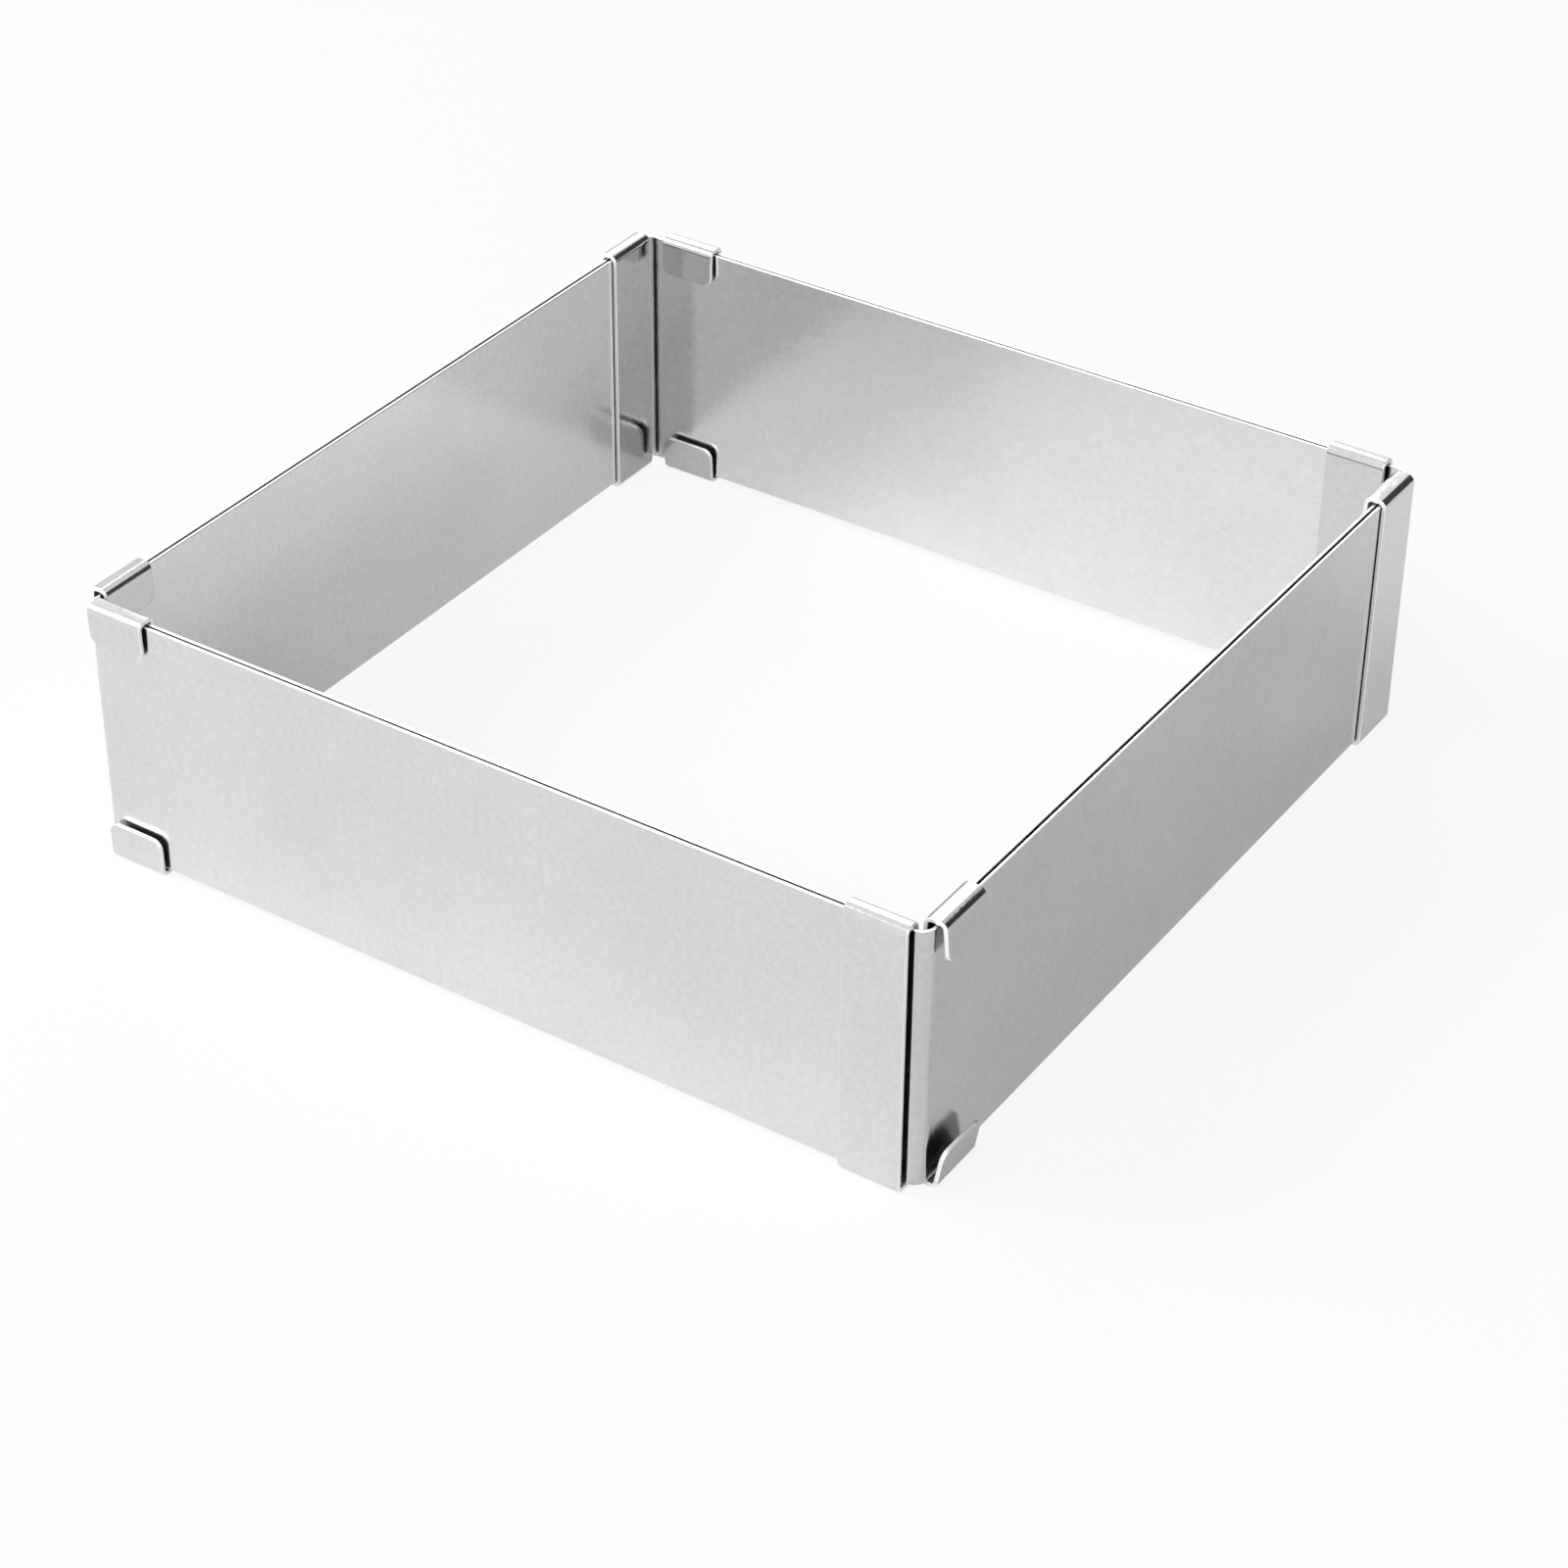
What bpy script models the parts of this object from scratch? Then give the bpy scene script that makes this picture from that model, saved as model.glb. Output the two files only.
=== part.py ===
"""Adjustable cake frame: four L-shaped panels of thin sheet steel that slide along one another.

Every wall is two legs deep. The outer leg of one panel lies over the inner leg of the next, all the
way round like a pinwheel. Each leg carries a guide clip on its end: a strip as tall as the wall, fixed to
the leg's free side and folded over the top and bottom of both legs into two tabs, which hold the leg it
slides on. Metres, +Z up. The origin is the middle of the frame, at the height of the surface it stands on.
"""

import math

import bmesh
import bpy
from mathutils import Matrix, Vector

# The sheet and its fits
SHEET = 0.0006
SLIDE_GAP = 0.0004
TAB_GAP = 0.0007
SEAT_GAP = 0.0003

# The frame as it stands, over the outer legs
REST_WIDTH = 0.161
REST_DEPTH = 0.160
FRAME_HEIGHT = 0.050

# How far the clips stop short of the far corner of their wall
FRONT_WALL_STOP = 0.0028
BACK_WALL_STOP = 0.0052
FRONT_PAIR_SIDE_STOP = 0.0028
BACK_PAIR_SIDE_STOP = 0.0036

# The bend at the corner of a panel
CORNER_RADIUS = 0.0025

# The guide clips, which reach a little beyond the ends of their legs
CLIP_WIDTH = 0.011
CLIP_OVERHANG = 0.003
TAB_DROP = 0.0072
TAB_CORNER_RADIUS = 0.0018
FOLD_RADIUS = 0.0010

# How finely round stretches are divided
CORNER_STEPS = 10
FOLD_STEPS = 5
TAB_CORNER_STEPS = 4
SMOOTH_BELOW = math.radians(30)
ROUND_PROFILE_SHARE = 0.5

# The steel
PANEL_COLOR = (0.72, 0.72, 0.73, 1.0)
PANEL_ROUGHNESS = 0.24
CLIP_COLOR = (0.76, 0.76, 0.77, 1.0)
CLIP_ROUGHNESS = 0.22
STEEL_METALLIC = 1.0

HALF_SHEET = SHEET / 2
LAP = SHEET + SLIDE_GAP
CLIP_STANDOFF = SEAT_GAP + HALF_SHEET
CLIP_DEPTH = SHEET + SEAT_GAP + LAP + SHEET + TAB_GAP + SHEET
WALL_BOTTOM = LAP
WALL_TOP = FRAME_HEIGHT - LAP
QUARTER_TURN = math.pi / 2
UP = Vector((0, 0, 1))

FRONT_LEG = REST_WIDTH - FRONT_WALL_STOP
BACK_LEG = REST_WIDTH - BACK_WALL_STOP
FRONT_PAIR_SIDE_LEG = REST_DEPTH - FRONT_PAIR_SIDE_STOP
BACK_PAIR_SIDE_LEG = REST_DEPTH - BACK_PAIR_SIDE_STOP

# Place in the frame, and the reach of the outer and the inner clip from the panel's own corner.
# Each panel stands a quarter turn on from the one before.
PANELS = (
    ("front_left", FRONT_LEG - LAP, FRONT_PAIR_SIDE_LEG),
    ("front_right", FRONT_PAIR_SIDE_LEG - LAP, FRONT_LEG),
    ("back_right", BACK_LEG - LAP, BACK_PAIR_SIDE_LEG),
    ("back_left", BACK_PAIR_SIDE_LEG - LAP, BACK_LEG),
)


def clear_scene():
    for obj in list(bpy.data.objects):
        bpy.data.objects.remove(obj, do_unlink=True)


def steel(name, color, roughness):
    material = bpy.data.materials.new(name)
    material.use_nodes = True
    shader = material.node_tree.nodes["Principled BSDF"]
    shader.inputs["Base Color"].default_value = color
    shader.inputs["Roughness"].default_value = roughness
    shader.inputs["Metallic"].default_value = STEEL_METALLIC
    return material


def extrude(bm, edges, step):
    """Extrudes the edges by a step and gives the new edges."""
    made = bmesh.ops.extrude_edge_only(bm, edges=edges)["geom"]
    verts = [item for item in made if isinstance(item, bmesh.types.BMVert)]
    bmesh.ops.translate(bm, verts=verts, vec=step)
    return [item for item in made if isinstance(item, bmesh.types.BMEdge)]


def turn(bm, edge, centre, axis):
    """Carries an edge a quarter turn about an axis, leaving a round fold, and gives the last edge."""
    swept = bmesh.ops.spin(
        bm, geom=[edge, *edge.verts], cent=centre, axis=axis, angle=QUARTER_TURN, steps=FOLD_STEPS
    )
    return next(item for item in swept["geom_last"] if isinstance(item, bmesh.types.BMEdge))


def finish_mesh(bm, name):
    """Turns the middle surface of a bent sheet into a mesh, shaded smooth but for its edges."""
    bmesh.ops.recalc_face_normals(bm, faces=bm.faces)
    mesh = bpy.data.meshes.new(name)
    bm.to_mesh(mesh)
    bm.free()
    mesh.shade_smooth()
    mesh.set_sharp_from_angle(angle=SMOOTH_BELOW)
    return mesh


def bend_line(outer_leg, inner_leg):
    """The middle of the sheet seen from above, from the outer leg's end round the corner to the inner leg's."""
    bend = CORNER_RADIUS - HALF_SHEET
    points = [(outer_leg, HALF_SHEET)]
    for step in range(CORNER_STEPS + 1):
        angle = -QUARTER_TURN * (1 + step / CORNER_STEPS)
        x = CORNER_RADIUS + bend * math.cos(angle)
        y = CORNER_RADIUS + bend * math.sin(angle)
        points.append((x, y))
    points.append((HALF_SHEET, inner_leg))
    return [Vector((x, y, WALL_BOTTOM)) for x, y in points]


def panel_mesh(name, outer_leg, inner_leg):
    """The middle surface of a panel: a plain wall bent round one corner."""
    bm = bmesh.new()
    line = [bm.verts.new(point) for point in bend_line(outer_leg, inner_leg)]
    low = [bm.edges.new(pair) for pair in zip(line, line[1:])]
    extrude(bm, low, UP * (WALL_TOP - WALL_BOTTOM))
    return finish_mesh(bm, name)


def fold_tab(bm, edge, away, over):
    """Folds a tab from an edge of a clip's strip.

    away points up for the top tab and down for the bottom one, and over points across both legs.
    """
    bend = FOLD_RADIUS - HALF_SHEET
    web = over * (CLIP_DEPTH - 2 * FOLD_RADIUS)
    axis = away.cross(over)
    first = edge.verts[0].co + over * bend
    edge = turn(bm, edge, first, axis)
    (edge,) = extrude(bm, [edge], web)
    edge = turn(bm, edge, first + web, axis)
    (edge,) = extrude(bm, [edge], -away * (TAB_DROP - FOLD_RADIUS))
    return edge


def clip_mesh(name):
    """The middle surface of a guide clip.

    It ends at x = 0 and reaches back along -x. Its own leg's free side is y = 0, and both legs lie on +y.
    """
    bm = bmesh.new()
    ends = ((0, -CLIP_STANDOFF, FOLD_RADIUS), (-CLIP_WIDTH, -CLIP_STANDOFF, FOLD_RADIUS))
    low = bm.edges.new([bm.verts.new(end) for end in ends])
    (high,) = extrude(bm, [low], UP * (FRAME_HEIGHT - 2 * FOLD_RADIUS))

    over = Vector((0, 1, 0))
    corners = [*fold_tab(bm, low, -UP, over).verts, *fold_tab(bm, high, UP, over).verts]
    bmesh.ops.bevel(
        bm,
        geom=corners,
        offset=TAB_CORNER_RADIUS,
        segments=TAB_CORNER_STEPS,
        profile=ROUND_PROFILE_SHARE,
        affect="VERTICES",
    )
    return finish_mesh(bm, name)


def add_sheet(collection, mesh, material):
    """A piece of bent sheet: its middle surface, half a sheet thick to either side."""
    mesh.materials.append(material)
    piece = bpy.data.objects.new(mesh.name, mesh)
    collection.objects.link(piece)
    wall = piece.modifiers.new("sheet", "SOLIDIFY")
    wall.thickness = SHEET
    wall.offset = 0
    wall.use_even_offset = True
    return piece


def add_panel(collection, place, quarter_turns, outer_leg, inner_leg):
    """One panel in its place. Its own corner is its origin, and both its slides run along its legs."""
    name = place + "_panel"
    mesh = panel_mesh(name, outer_leg - CLIP_OVERHANG, inner_leg - CLIP_OVERHANG)
    panel = add_sheet(collection, mesh, steel(place + "_steel", PANEL_COLOR, PANEL_ROUGHNESS))
    turned = Matrix.Rotation(quarter_turns * QUARTER_TURN, 4, "Z")
    side = turned @ Vector((-1, -1, 0))
    corner = Vector((side.x * REST_WIDTH / 2, side.y * REST_DEPTH / 2, 0))
    panel.location = corner + turned @ Vector((LAP, 0, 0))
    panel.rotation_euler.z = quarter_turns * QUARTER_TURN
    return panel


def add_clip(collection, panel, name, leg_end, quarter_turns):
    """One guide clip, carried by its panel, with its end at leg_end in the panel's own frame."""
    clip = add_sheet(collection, clip_mesh(name), steel(name + "_steel", CLIP_COLOR, CLIP_ROUGHNESS))
    clip.parent = panel
    clip.location = leg_end
    clip.rotation_euler.z = quarter_turns * QUARTER_TURN
    return clip


def main():
    clear_scene()
    frame = bpy.data.collections.new("adjustable_cake_frame")
    bpy.context.scene.collection.children.link(frame)
    for quarter_turns, (place, outer_leg, inner_leg) in enumerate(PANELS):
        panel = add_panel(frame, place, quarter_turns, outer_leg, inner_leg)
        add_clip(frame, panel, place + "_outer_clip", Vector((outer_leg, 0, 0)), 0)
        add_clip(frame, panel, place + "_inner_clip", Vector((SHEET, inner_leg, 0)), 1)


main()
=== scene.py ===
# %% [markdown]
# # An adjustable cake frame
# Four L-shaped panels of thin stainless sheet make a square ring without a bottom. Every wall is two
# legs deep, and each leg carries a guide clip on its end, folded over both legs, so the ring opens wider
# and deeper. The solids come from the CAD model. This lesson models the same sheets again with finer
# folds and broken edges, gives them a brushed finish and sets up a small photo studio.

# %% Load the solids
import math

import bmesh
import bpy
from mathutils import Matrix, Vector


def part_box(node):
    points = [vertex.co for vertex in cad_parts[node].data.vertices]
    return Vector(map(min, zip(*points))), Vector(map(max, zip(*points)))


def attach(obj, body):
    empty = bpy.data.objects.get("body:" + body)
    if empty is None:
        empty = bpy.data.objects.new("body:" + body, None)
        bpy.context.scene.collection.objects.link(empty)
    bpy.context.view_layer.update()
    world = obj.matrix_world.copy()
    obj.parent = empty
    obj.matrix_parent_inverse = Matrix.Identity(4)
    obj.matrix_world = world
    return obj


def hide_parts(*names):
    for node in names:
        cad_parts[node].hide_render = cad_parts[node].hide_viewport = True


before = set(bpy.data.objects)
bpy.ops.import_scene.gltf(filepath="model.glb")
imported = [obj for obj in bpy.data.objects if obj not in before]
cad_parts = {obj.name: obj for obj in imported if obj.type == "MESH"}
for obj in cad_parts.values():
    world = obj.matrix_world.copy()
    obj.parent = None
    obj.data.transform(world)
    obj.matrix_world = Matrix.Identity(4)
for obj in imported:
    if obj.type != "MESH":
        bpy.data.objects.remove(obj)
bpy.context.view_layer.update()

# %% [markdown]
# A sheet-metal drawing starts with the sheet and its folds. All sizes are in metres. The visible sheets
# lie in the same places with the gaps that such sheets really have: a clip is spot welded flat to its own
# leg, and its folds pass close over both legs. The clips are drawn of a slightly thicker sheet, because
# their cut edges look so in the photograph.

# %% Sizes of the sheet and its folds
SHEET = 0.0006
CLIP_SHEET = 0.0008
SLIDE_GAP = 0.0004
TAB_GAP = 0.0002
RIM_GAP = 0.0003
SEAT_GAP = 0.0001
SOLID_SEAT_GAP = 0.0003
FRAME_HEIGHT = 0.050
CORNER_RADIUS = 0.0025
CLIP_WIDTH = 0.011
TAB_DROP = 0.0072
TAB_CORNER_RADIUS = 0.0018
FOLD_RADIUS = 0.0014

HALF_SHEET = SHEET / 2
LAP = SHEET + SLIDE_GAP
HALF_CLIP_SHEET = CLIP_SHEET / 2
CLIP_STANDOFF = SEAT_GAP + HALF_CLIP_SHEET
CLIP_DEPTH = CLIP_SHEET + SEAT_GAP + LAP + SHEET + TAB_GAP + CLIP_SHEET
TAB_MIDDLE = CLIP_DEPTH - CLIP_SHEET - CLIP_STANDOFF
WALL_HEIGHT = FRAME_HEIGHT - 2 * (CLIP_SHEET + RIM_GAP)
NEAR = 0.00001
QUARTER_TURN = math.pi / 2
UP = Vector((0, 0, 1))


def mm(length):
    """A length in millimetres, to be printed."""
    return round(1000 * length, 1)


print(f"wall {mm(WALL_HEIGHT)} mm tall, clip {mm(CLIP_DEPTH)} mm deep")

# %% [markdown]
# Each panel is the one before it, turned a quarter turn about the frame's middle, with its own leg
# lengths. A node's box turned back to the first panel's direction gives where its corner stands and how
# long its legs are, so the visible sheet lies exactly where the solid does.

# %% Where each panel stands
PLACES = ("front_left", "front_right", "back_right", "back_left")


def turned_box(node_name, quarter_turns):
    """A node's box after it is turned back by some quarter turns."""
    back = Matrix.Rotation(-quarter_turns * QUARTER_TURN, 4, "Z")
    a, b = (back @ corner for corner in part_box(node_name))
    low = Vector((min(a.x, b.x), min(a.y, b.y), 0))
    high = Vector((max(a.x, b.x), max(a.y, b.y), 0))
    return low, high


for quarter_turns, place in enumerate(PLACES):
    low, high = turned_box(place + "_panel", quarter_turns)
    print(f"{place}: outer leg {mm(high.x - low.x)} mm, inner leg {mm(high.y - low.y)} mm")

# %% [markdown]
# In edit mode an operator acts on what is selected. By hand one would click the edge to pull. Here the
# edge is picked by its place: everything is deselected first, then the points that pass a test are
# selected, and Blender selects the edges and faces between them.


# %% Picking by place and pulling
def pick(test):
    """Selects the points of the mesh in edit mode that pass a test, and nothing else."""
    bpy.ops.mesh.select_mode(type="VERT")
    bpy.ops.mesh.select_all(action="DESELECT")
    mesh = bmesh.from_edit_mesh(bpy.context.object.data)
    for vert in mesh.verts:
        vert.select = test(vert.co)
    mesh.select_flush_mode()
    bmesh.update_edit_mesh(bpy.context.object.data)
    return sum(vert.select for vert in mesh.verts)


def pull(step):
    """Extrudes the selected edge by a step, which leaves the new edge selected."""
    bpy.ops.mesh.extrude_region_move(TRANSFORM_OT_translate={"value": tuple(step)})


def spin(centre, axis, steps):
    """Sweeps the selected edge a quarter turn about an axis, which leaves the last edge selected."""
    bpy.ops.mesh.spin(steps=steps, angle=-QUARTER_TURN, center=tuple(centre), axis=tuple(axis))


def near(value, place):
    """Whether a coordinate is at a place."""
    return abs(value - place) < NEAR


# %% [markdown]
# A panel is one strip of sheet bent round a corner. A small plane is set up at the end of the outer leg
# and its height is scaled to the wall's. Its inner edge is then pulled along the wall, spun round the
# corner and pulled along the other wall. Only the middle of the sheet is drawn: the thickness comes
# last, evenly on both sides, as the real sheet has it.

# %% The wall of a panel
CORNER_STEPS = 16
WALL_PARTS = 12
FIRST_PART = 0.010


def add_strip(name, width, end, height):
    """Adds an upright plane that ends at a point, scales it to its height and starts to edit it."""
    bpy.ops.object.select_all(action="DESELECT")
    middle = Vector((end.x - width / 2, end.y, FRAME_HEIGHT / 2))
    bpy.ops.mesh.primitive_plane_add(size=width, location=middle, rotation=(QUARTER_TURN, 0, 0))
    strip = bpy.context.object
    strip.name = name
    bpy.ops.object.transform_apply(location=True, rotation=True, scale=True)
    bpy.ops.object.mode_set(mode="EDIT")
    bpy.ops.transform.resize(value=(1, 1, height / width), center_override=middle)
    return strip


def model_wall(name, outer_leg, inner_leg):
    """Draws the middle of the sheet from the outer leg's end round the corner to the inner leg's end."""
    panel = add_strip(name, FIRST_PART, Vector((outer_leg, HALF_SHEET, 0)), WALL_HEIGHT)
    pick(lambda co: near(co.x, outer_leg - FIRST_PART))
    part = (outer_leg - FIRST_PART - CORNER_RADIUS) / WALL_PARTS
    for _ in range(WALL_PARTS):
        pull((-part, 0, 0))
    spin((CORNER_RADIUS, CORNER_RADIUS, 0), -UP, CORNER_STEPS)
    part = (inner_leg - CORNER_RADIUS) / WALL_PARTS
    for _ in range(WALL_PARTS):
        pull((0, part, 0))
    return panel


# %% [markdown]
# The clips are made on a press brake: a short strip is folded square over the edges of both legs, runs
# across them and is folded square again. In Blender that is spin, pull, spin, pull. The same four moves
# make the top and the bottom tab. away points out of the strip's edge and OVER points across the legs.

# %% A guide clip
FOLD_STEPS = 8
TAB_CORNER_STEPS = 6
ROUND_PROFILE = 0.5
OVER = Vector((0, 1, 0))


def fold_tab(edge_height, away):
    """Folds a tab from the strip's edge at a height, and rounds its free corners."""
    pick(lambda co: near(co.z, edge_height))
    bend = Vector((0, -CLIP_STANDOFF + FOLD_RADIUS - HALF_CLIP_SHEET, edge_height))
    web = OVER * (CLIP_DEPTH - 2 * FOLD_RADIUS)
    spin(bend, away.cross(OVER), FOLD_STEPS)
    pull(web)
    spin(bend + web, away.cross(OVER), FOLD_STEPS)
    pull(-away * (TAB_DROP - FOLD_RADIUS))
    bpy.ops.mesh.bevel(
        offset=TAB_CORNER_RADIUS,
        segments=TAB_CORNER_STEPS,
        profile=ROUND_PROFILE,
        affect="VERTICES",
    )


def model_clip(name):
    """Draws the middle of a clip's sheet. It ends at x = 0, and its leg's free side is y = 0."""
    end = Vector((0, -CLIP_STANDOFF, 0))
    clip = add_strip(name, CLIP_WIDTH, end, FRAME_HEIGHT - 2 * FOLD_RADIUS)
    fold_tab(FOLD_RADIUS, -UP)
    fold_tab(FRAME_HEIGHT - FOLD_RADIUS, UP)
    bpy.ops.object.mode_set(mode="OBJECT")
    return clip


drawn_clip = model_clip("drawn_clip")
print(f"clip: {len(drawn_clip.data.polygons)} faces before it has its thickness")

# %% [markdown]
# The eight clips are one shape, but each was pressed and handled by itself, so it holds its walls more or
# less tightly, and its tabs stand open by a few tenths of a millimetre. A copy is opened by turning the
# flat of each tab about the line where its fold ends, and widened by moving its far side out.

# %% A copy of the clip with its own tabs


def open_tab(edge_height, away, flare):
    """Turns the flat of a tab about its root, so that its free edge moves out by the flare."""
    tab_length = TAB_DROP - FOLD_RADIUS
    root = Vector((0, TAB_MIDDLE, edge_height))
    picked = pick(
        lambda co: near(co.y, root.y) and NEAR < (edge_height - co.z) * away.z < tab_length + NEAR
    )
    angle = -away.z * flare / tab_length
    bpy.ops.transform.rotate(value=angle, orient_axis="X", center_override=root)
    return picked


def copy_clip(name, looseness, bottom_flare, top_flare):
    """Copies the drawn clip with a mesh of its own, widens it by its looseness and opens its tabs."""
    clip = bpy.data.objects.new(name, drawn_clip.data.copy())
    bpy.context.scene.collection.objects.link(clip)
    bpy.ops.object.select_all(action="DESELECT")
    clip.select_set(True)
    bpy.context.view_layer.objects.active = clip
    bpy.ops.object.mode_set(mode="EDIT")
    opened = open_tab(FOLD_RADIUS, -UP, bottom_flare)
    opened += open_tab(FRAME_HEIGHT - FOLD_RADIUS, UP, top_flare)
    pick(lambda co: co.y > FOLD_RADIUS - CLIP_SHEET - SEAT_GAP + NEAR)
    bpy.ops.transform.translate(value=(0, looseness, 0))
    print(f"{name}: {opened} points of its tabs turned")
    return clip


# %% [markdown]
# Solidify gives the drawn surface its thickness, half to each side. A sheared edge is never razor sharp,
# so a small bevel breaks it, and that thin line is what catches the light on the real frame. Solidify
# also gives its rim the second material slot. That is kept as a face attribute, so that the finish can
# tell the sheared rim from the brushed faces: the rim is matt, and painted near white as a highlight.

# %% Thickness and broken edges
EDGE_BREAK = 0.00016
EDGE_STEPS = 3
SHARP_FROM = math.radians(40)


def add_modifier(piece, kind, **settings):
    """Adds a modifier with its settings and applies it."""
    modifier = piece.modifiers.new(kind.lower(), kind)
    for key, value in settings.items():
        setattr(modifier, key, value)
    bpy.ops.object.modifier_apply(modifier=modifier.name)


def finish_sheet(piece, thickness):
    """Turns the drawn surface into a closed sheet with broken edges, its rim marked."""
    bpy.ops.mesh.select_all(action="SELECT")
    bpy.ops.mesh.remove_doubles(threshold=NEAR)
    bpy.ops.mesh.normals_make_consistent(inside=False)
    bpy.ops.object.mode_set(mode="OBJECT")
    for _ in ("faces", "rim"):
        bpy.ops.object.material_slot_add()
    add_modifier(
        piece, "SOLIDIFY", thickness=thickness, offset=0, use_even_offset=True, material_offset_rim=1
    )
    add_modifier(
        piece, "BEVEL", width=EDGE_BREAK, segments=EDGE_STEPS, limit_method="ANGLE", angle_limit=SHARP_FROM
    )
    bpy.ops.object.shade_smooth_by_angle(angle=SHARP_FROM)
    add_modifier(piece, "WEIGHTED_NORMAL", keep_sharp=True)
    cut_edge = piece.data.attributes.new("cut_edge", "FLOAT", "FACE")
    for face in piece.data.polygons:
        cut_edge.data[face.index].value = float(face.material_index)
        face.material_index = 0
    piece.data.materials.clear()


# %% [markdown]
# Each finished piece is turned into place and its turn is applied, so its object sits at the origin. It
# rides on the body of the CAD piece that it stands for, and slides with it.

# %% The four panels


def set_in_place(piece, quarter_turns, start, node_name, body):
    """Turns a finished piece into place and lets it stand for its CAD node."""
    turn = Matrix.Rotation(quarter_turns * QUARTER_TURN, 4, "Z")
    piece.matrix_world = turn @ Matrix.Translation(start)
    bpy.ops.object.transform_apply(location=True, rotation=True, scale=True)
    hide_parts(node_name)
    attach(piece, body)
    sides = [mm(side) for side in piece.dimensions]
    print(f"{piece.name}: {len(piece.data.polygons)} faces, {sides} mm")


panels = {}
for quarter_turns, place in enumerate(PLACES):
    low, high = turned_box(place + "_panel", quarter_turns)
    panel = model_wall(place + "_sheet", high.x - low.x, high.y - low.y)
    finish_sheet(panel, SHEET)
    set_in_place(panel, quarter_turns, low, place + "_panel", place)
    panels[place] = panel

# %% [markdown]
# An outer clip looks the way its panel does, and an inner clip is a quarter turn further on, so each row
# starts with its quarter turns. The first size is how much further than its solid it reaches, the second
# is its looseness, and the last two are how far its bottom and its top tab stand open. The loosest clip,
# which also has the widest flare, is at the front end of the right wall, with a dark gap behind its lower
# tab. The one at that wall's back end is nearly as loose. At the left end of the front wall the top tab
# leans in.

# %% The eight clips
CLIPS = {
    "front_left_outer_clip": (0, 0.0003, 0.0, 0.0003, 0.0002),
    "front_left_inner_clip": (1, -0.0004, 0.0002, 0.0004, 0.0003),
    "front_right_outer_clip": (1, 0.0, 0.0006, 0.0002, 0.0003),
    "front_right_inner_clip": (2, 0.0, 0.0004, 0.0001, -0.0002),
    "back_right_outer_clip": (2, 0.0, 0.0003, 0.0004, 0.0002),
    "back_right_inner_clip": (3, 0.0, 0.0007, 0.0010, 0.0005),
    "back_left_outer_clip": (3, 0.0, 0.0002, 0.0003, 0.0003),
    "back_left_inner_clip": (4, 0.0, 0.0002, 0.0003, 0.0002),
}
clips = {}
for node_name, (quarter_turns, reach, *shape) in CLIPS.items():
    low, high = turned_box(node_name, quarter_turns)
    clip = copy_clip(node_name + "_sheet", *shape)
    finish_sheet(clip, CLIP_SHEET)
    end = Vector((high.x + reach, low.y + SHEET + SOLID_SEAT_GAP, 0))
    body = node_name.rsplit("_", 2)[0]
    set_in_place(clip, quarter_turns, end, node_name, body)
    clips[node_name] = clip
bpy.data.objects.remove(drawn_clip)

# %% [markdown]
# Shader maths reads best as sums. A Wire wraps a socket, and adding or multiplying wires adds the Math
# nodes that do it. Every other node comes from one function that takes its type, its settings and the
# values or wires of its inputs.


# %% A small kit for shader maths
class Wire:
    """A socket of a material's node tree that can be used in a sum."""

    def __init__(self, tree, socket):
        self.tree = tree
        self.socket = socket

    def math(self, operation, *values):
        return node(self.tree, "ShaderNodeMath", {"operation": operation}, dict(enumerate(values)))

    def __add__(self, other):
        return self.math("ADD", self, other)

    def __radd__(self, other):
        return self.math("ADD", other, self)

    def __sub__(self, other):
        return self.math("SUBTRACT", self, other)

    def __rsub__(self, other):
        return self.math("SUBTRACT", other, self)

    def __mul__(self, other):
        return self.math("MULTIPLY", self, other)

    def __rmul__(self, other):
        return self.math("MULTIPLY", other, self)


def node(tree, kind, settings=None, inputs=None, output=0):
    """Adds a node, sets it up, feeds its inputs and gives one of its outputs as a wire."""
    made = tree.nodes.new(kind)
    for key, value in (settings or {}).items():
        setattr(made, key, value)
    for key, value in (inputs or {}).items():
        if isinstance(value, Wire):
            tree.links.new(value.socket, made.inputs[key])
        else:
            made.inputs[key].default_value = value
    return Wire(tree, made.outputs[output])


# %% [markdown]
# Stainless sheet for bakeware is brushed along its length before it is cut. Under the eye that is a bright
# metal whose gloss varies in long, thin streaks, and whose surface is not quite flat. The streaks are a
# noise that is stretched along the wall and fine across it. A fine noise gives the metal its grain, a
# wider one its smudges, and these three vary both the tone and the roughness. The streaks and the grain
# also give a very shallow bump, over the slight waves of the sheet. The sheared rim is matt, and its
# near-white colour is a painted highlight.

# %% Brushed steel
# The patterns
STREAKS_PER_METRE = (25.0, 25.0, 2500.0)
GRAINS_PER_METRE = 900.0
SMUDGES_PER_METRE = 40.0
WAVES_PER_METRE = 18.0
FINE_DETAIL = 3.0
WAVE_DETAIL = 1.0
NOISE_MIDDLE = 0.5

# How strongly each pattern changes the tone, and all of them the roughness
MIDDLE_TONE = 0.5
STREAK_TONE = 0.25
GRAIN_TONE = 0.8
SMUDGE_TONE = 0.5
ROUGHNESS_CHANGE = 0.06

# Depths of the bumps in metres
WAVE_DEPTH = 0.0002
GRAIN_DEPTH = 0.00002
STREAK_DEPTH = 0.000003

# The brushing, and the cut edges, whose near-white colour is a painted highlight
BRUSHED_ANISOTROPY = 0.7
BRUSHED_TURN = 0.25
CUT_HIGHLIGHT_COLOR = (0.95, 0.95, 0.95, 1.0)
CUT_ROUGHNESS = 0.5


def new_material(name):
    """A new material with nodes, and its shader node."""
    material = bpy.data.materials.new(name)
    material.use_nodes = True
    return material, material.node_tree.nodes["Principled BSDF"]


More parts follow.
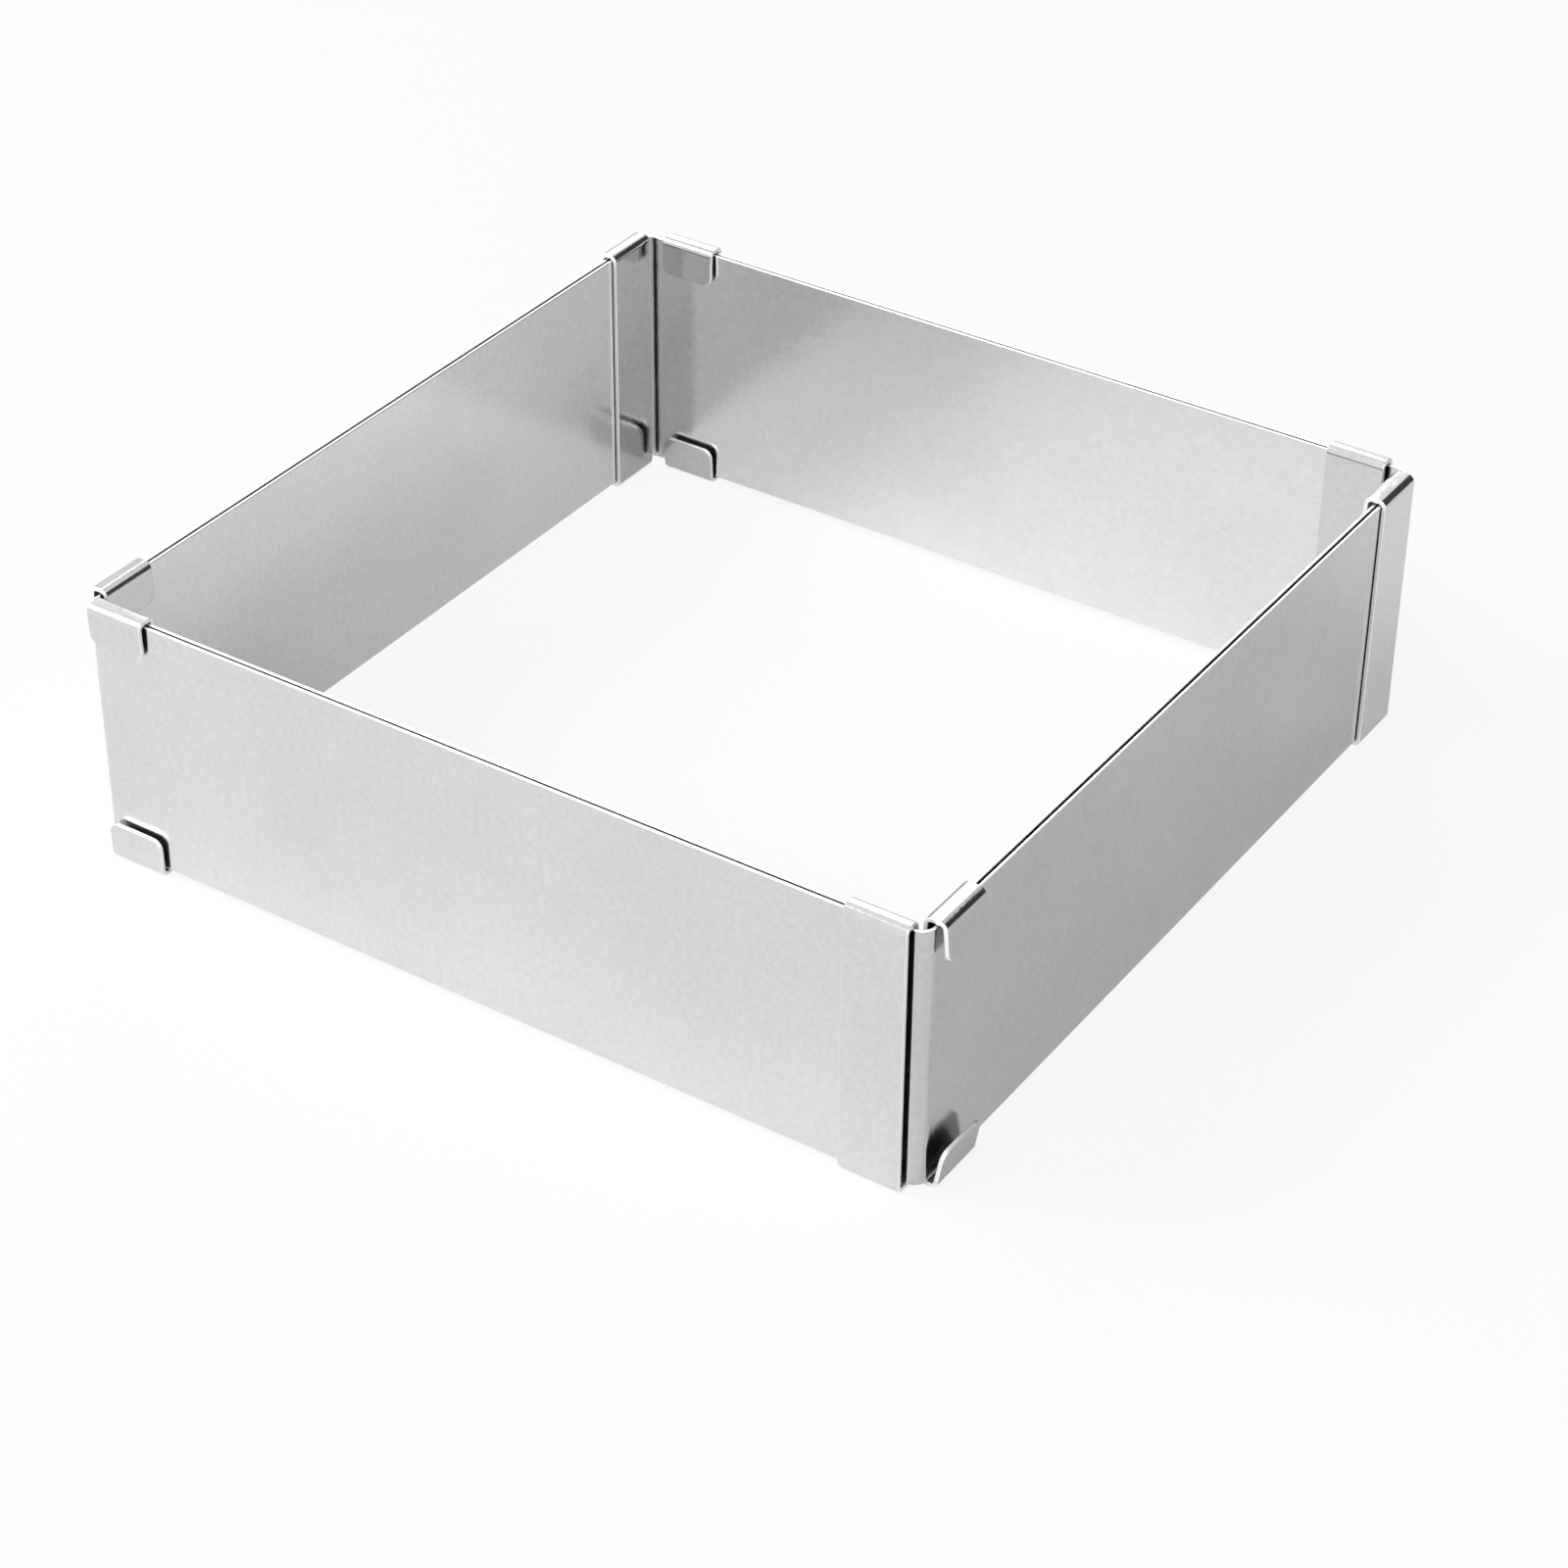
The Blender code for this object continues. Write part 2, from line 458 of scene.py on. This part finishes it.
def noise(tree, place, scale, detail):
    """A noise around zero, from about minus to plus one half. scale is one number or one for each axis."""
    if isinstance(scale, tuple):
        place = node(tree, "ShaderNodeMapping", inputs={"Vector": place, "Scale": scale})
        scale = 1.0
    made = node(tree, "ShaderNodeTexNoise", inputs={"Vector": place, "Scale": scale, "Detail": detail})
    return made - NOISE_MIDDLE


def mix_colors(tree, share, low, high):
    """A color between two others, by a share from zero to one."""
    inputs = {"Factor": share, "A": low, "B": high}
    return node(tree, "ShaderNodeMix", {"data_type": "RGBA"}, inputs, output="Result")


def bump(tree, height, depth, **below):
    """A bump of a depth in metres, laid over the normal below it where there is one."""
    return node(tree, "ShaderNodeBump", inputs={"Height": height, "Distance": depth, **below})


def brushed_steel(name, offset, dark, bright, gloss):
    """A brushed stainless finish. offset moves the pattern, so that no two pieces are alike."""
    material, shader = new_material(name)
    tree = material.node_tree
    place = node(tree, "ShaderNodeTexCoord", output="Object")
    moved = node(tree, "ShaderNodeMapping", inputs={"Vector": place, "Location": offset})
    streak = noise(tree, moved, STREAKS_PER_METRE, FINE_DETAIL)
    grain = noise(tree, moved, GRAINS_PER_METRE, FINE_DETAIL)
    smudge = noise(tree, moved, SMUDGES_PER_METRE, FINE_DETAIL)
    wave = noise(tree, moved, WAVES_PER_METRE, WAVE_DETAIL)
    cut = node(tree, "ShaderNodeAttribute", {"attribute_name": "cut_edge"}, output="Fac")

    tone = MIDDLE_TONE + STREAK_TONE * streak + GRAIN_TONE * grain + SMUDGE_TONE * smudge
    # On the rim the colour turns near white, a painted highlight; the rim is also rougher.
    color = mix_colors(tree, cut, mix_colors(tree, tone, dark, bright), CUT_HIGHLIGHT_COLOR)
    face_roughness = gloss + ROUGHNESS_CHANGE * (streak + smudge + grain)
    roughness = face_roughness + cut * (CUT_ROUGHNESS - face_roughness)
    waves = bump(tree, wave, WAVE_DEPTH)
    pits = bump(tree, grain, GRAIN_DEPTH, Normal=waves)
    lines = bump(tree, streak, STREAK_DEPTH, Normal=pits)
    tree.links.new(color.socket, shader.inputs["Base Color"])
    tree.links.new(roughness.socket, shader.inputs["Roughness"])
    tree.links.new(lines.socket, shader.inputs["Normal"])
    shader.inputs["Metallic"].default_value = 1.0
    shader.inputs["Anisotropic"].default_value = BRUSHED_ANISOTROPY
    shader.inputs["Anisotropic Rotation"].default_value = BRUSHED_TURN
    return material


# %% [markdown]
# Each piece has its own pair of greys, a dark and a bright one, and its finish wanders between them.
# The level of each pair is painted light and shade: a piece that mirrors a darker or brighter part of
# the studio gets a darker or lighter pair. The clips are glossier than the panels.

# %% The finish of each piece
PANEL_GLOSS = 0.18
CLIP_GLOSS = 0.12
# The panels' greys are painted light and shade, so some walls come out darker and some lighter.
PANEL_PAINTED_LIGHT_GREYS = {
    "front_left": (0.60, 0.78),
    "front_right": (0.50, 0.68),
    "back_right": (0.60, 0.80),
    "back_left": (0.72, 0.90),
}
CLIP_GREYS = (0.60, 0.78)
# These clips get darker greys as painted shade, for the dark corners and gaps that their strips and tabs
# mirror.
SHADED_CLIP_GREYS = {
    "front_left_inner_clip": (0.42, 0.58),
    "back_right_outer_clip": (0.52, 0.70),
    "back_left_outer_clip": (0.50, 0.68),
    "back_right_inner_clip": (0.44, 0.60),
}
OFFSET_STEP = Vector((0.3, 0.2, 0.1))
BLUE_SHARE = 1.012


def steel_color(grey):
    """A grey with the faint blue of stainless steel."""
    return (grey, grey, BLUE_SHARE * grey, 1.0)


def give_finish(piece, name, index, grain_and_shade_greys, gloss):
    """Gives a piece a steel with its own pair of greys, whose level is painted light and shade. The index
    moves the pattern along.
    """
    dark, bright = (steel_color(grey) for grey in grain_and_shade_greys)
    piece.data.materials.append(brushed_steel(name, index * OFFSET_STEP, dark, bright, gloss))


for index, (place, panel) in enumerate(panels.items()):
    give_finish(panel, place + "_steel", index, PANEL_PAINTED_LIGHT_GREYS[place], PANEL_GLOSS)
for index, (node_name, clip) in enumerate(clips.items(), len(panels)):
    grain_and_shade_greys = SHADED_CLIP_GREYS.get(node_name, CLIP_GREYS)
    give_finish(clip, node_name + "_steel", index, grain_and_shade_greys, CLIP_GLOSS)
print("finishes:", len(panels) + len(clips))

# %% [markdown]
# A polished wall shows the floor in front of it more than it shows any lamp, so the floor matters as much
# as the lights. The floor is pale and matt, and takes the frame's shadow. A part of it glows plain white
# for the camera and for what shines, mixed in by Light Path, so the backdrop comes out white without
# more light on the frame.

# %% The floor
FLOOR_SIZE = 6.0
FLOOR_COLOR = (0.9, 0.9, 0.9, 1.0)
WHITE = (1.0, 1.0, 1.0, 1.0)
FLOOR_GLOW_SEEN = 0.85
FLOOR_GLOW_REFLECTED = 0.2


def is_ray(tree, kind):
    """One for rays of a kind and zero for all others."""
    return node(tree, "ShaderNodeLightPath", output=f"Is {kind} Ray")


def glow_share(tree, seen, reflected):
    """A share for rays from the camera, another for reflected and refracted rays, and none for the rest."""
    bounced = is_ray(tree, "Glossy") + is_ray(tree, "Transmission")
    return seen * is_ray(tree, "Camera") + reflected * bounced


bpy.ops.object.select_all(action="DESELECT")
bpy.ops.mesh.primitive_plane_add(size=FLOOR_SIZE, location=(0, 0, 0))
floor = bpy.context.object
floor.name = "floor"
paint, shader = new_material("floor_paint")
tree = paint.node_tree
shader.inputs["Base Color"].default_value = FLOOR_COLOR
shader.inputs["Roughness"].default_value = 1.0
shader.inputs["Specular IOR Level"].default_value = 0.0
glow = node(tree, "ShaderNodeEmission", inputs={"Color": WHITE, "Strength": 1.0})
painted = Wire(tree, shader.outputs["BSDF"])
share = glow_share(tree, FLOOR_GLOW_SEEN, FLOOR_GLOW_REFLECTED)
mixed = node(tree, "ShaderNodeMixShader", inputs={0: share, 1: painted, 2: glow})
tree.links.new(mixed.socket, tree.nodes["Material Output"].inputs["Surface"])
floor.data.materials.append(paint)
print(f"floor: {FLOOR_SIZE} m to a side")

# %% [markdown]
# The room around the floor is plain white too. It gives less than half its strength as light and shows at
# full strength to the camera and in reflections.

# %% The room
ROOM_LIGHT = 0.42
ROOM_SHOWN = 1.0
room_glow = ROOM_SHOWN - ROOM_LIGHT
world = bpy.data.worlds.new("studio")
bpy.context.scene.world = world
world.use_nodes = True
tree = world.node_tree
background = tree.nodes["Background"]
background.inputs["Color"].default_value = WHITE
strength = ROOM_LIGHT + glow_share(tree, room_glow, room_glow)
tree.links.new(strength.socket, background.inputs["Strength"])
print(f"room: lights with {ROOM_LIGHT} and shows {ROOM_SHOWN}")

# %% [markdown]
# The photograph has soft light from the left and from above, so the front wall and the inside of the left
# wall are bright and the frame's faint shadow falls to the right. Large square lamps do that: a key lamp
# on the left, a fill in front, and a weak one at the front right that brightens the bend and the cut edges
# at the near corner. A fourth stands behind on the left, where the flat tops of the folds mirror it to the
# camera as white.

# %% The lamps
LAMPS = {
    "key_lamp": {"location": (-1.1, -0.6, 1.15), "size": 0.8, "power": 14.0},
    "fill_lamp": {"location": (0.05, -0.8, 0.9), "size": 0.6, "power": 3.5},
    "edge_lamp": {"location": (0.75, -0.95, 0.5), "size": 0.6, "power": 2.5},
    "rim_lamp": {"location": (-0.85, 1.3, 1.1), "size": 0.7, "power": 3.0},
}


def soft_lamp(name, location, size, power):
    """Adds a square lamp at a place, turned to face the frame."""
    bpy.ops.object.light_add(type="AREA", location=location)
    lamp = bpy.context.object
    lamp.name = name
    lamp.data.size = size
    lamp.data.energy = power
    lamp.rotation_euler = (-Vector(location)).to_track_quat("-Z", "Y").to_euler()


for name, setting in LAMPS.items():
    soft_lamp(name, **setting)
print("lamps:", len(LAMPS))

# %% [markdown]
# Photographers set black cards, called flags, where shiny metal would otherwise melt into a white room.
# This one stands behind the frame on the right, out of the picture. It draws the dark lines along the
# round folds of the side walls. It is hidden from the camera as well, so other views don't show it.

# %% The flag
FLAG_SIZE = (1.8, 1.15)
FLAG_PLACE = (1.0, 1.1, 0.575)
FLAG_COLOR = (0.03, 0.03, 0.03, 1.0)
bpy.ops.mesh.primitive_plane_add(size=1.0, location=FLAG_PLACE, rotation=(QUARTER_TURN, 0, 0))
flag = bpy.context.object
flag.name = "flag"
flag.scale = (*FLAG_SIZE, 1.0)
cloth, shader = new_material("flag_cloth")
shader.inputs["Base Color"].default_value = FLAG_COLOR
flag.data.materials.append(cloth)
flag.visible_camera = False
print(f"flag: {FLAG_SIZE[0]} m wide, {FLAG_SIZE[1]} m tall")

# %% [markdown]
# The camera stands where the photographer stood: in front of the near corner, a little to the front
# wall's side of it, well above the rim, with a moderate telephoto lens.

# %% The camera
LENS = 89.72
SENSOR_WIDTH = 36.0
NEAREST_SEEN = 0.01
AZIMUTH = math.radians(33.20)
ELEVATION = math.radians(34.88)
ROLL = math.radians(0.58)
DISTANCE = 0.63354
AIM = Vector((0.0235, -0.0301, 0.025))

forward = Vector(
    (
        -math.sin(AZIMUTH) * math.cos(ELEVATION),
        math.cos(AZIMUTH) * math.cos(ELEVATION),
        -math.sin(ELEVATION),
    )
)
level = Vector((math.cos(AZIMUTH), math.sin(AZIMUTH), 0))
upward = level.cross(forward)
right = math.cos(ROLL) * level + math.sin(ROLL) * upward
up = -math.sin(ROLL) * level + math.cos(ROLL) * upward
bpy.ops.object.camera_add()
camera = bpy.context.object
camera.name = "camera"
camera.data.lens = LENS
camera.data.sensor_width = SENSOR_WIDTH
camera.data.clip_start = NEAREST_SEEN
turned = Matrix((right, up, -forward)).transposed().to_4x4()
camera.matrix_world = Matrix.Translation(AIM - DISTANCE * forward) @ turned
bpy.context.scene.camera = camera
bpy.context.scene.view_settings.view_transform = "Standard"
print("camera at", [round(value, 3) for value in camera.location])
